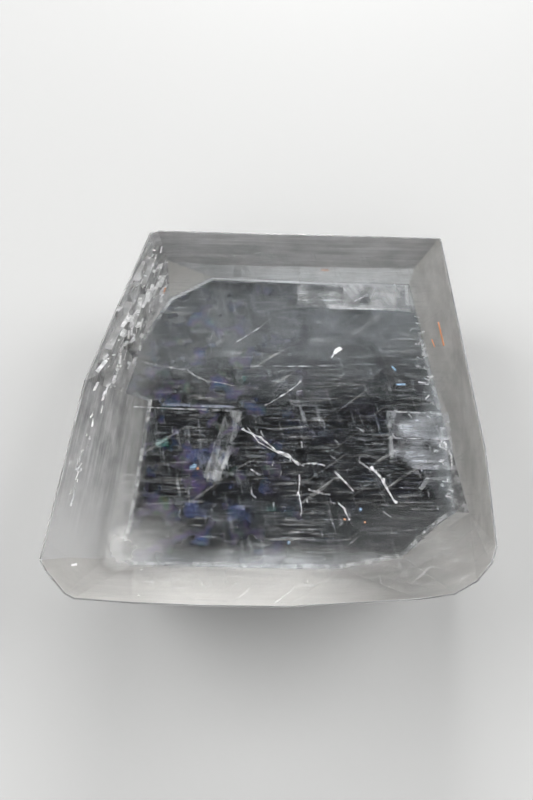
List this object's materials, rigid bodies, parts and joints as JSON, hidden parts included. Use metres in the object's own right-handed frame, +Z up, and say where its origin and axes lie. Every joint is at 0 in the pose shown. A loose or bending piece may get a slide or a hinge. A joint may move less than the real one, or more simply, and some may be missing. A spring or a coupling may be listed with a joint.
{
  "type": "calcite specimen",
  "caption": "Thick slab of clear calcite with a polished top, ground and cleaved side walls that lean in to a flat foot.",
  "frame": {"origin": "on the surface that the crystal rests on, under the middle of its outline", "axes": "+Z up from the foot to the polished top, +Y to the far edge, +X to the right, seen from the near edge"},
  "size_m": [0.1046, 0.1204, 0.042],
  "materials": {
    "clear_calcite": "polished"
  },
  "bodies": {
    "root": {"calcite_crystal": "clear_calcite"}
  },
  "joints": []
}
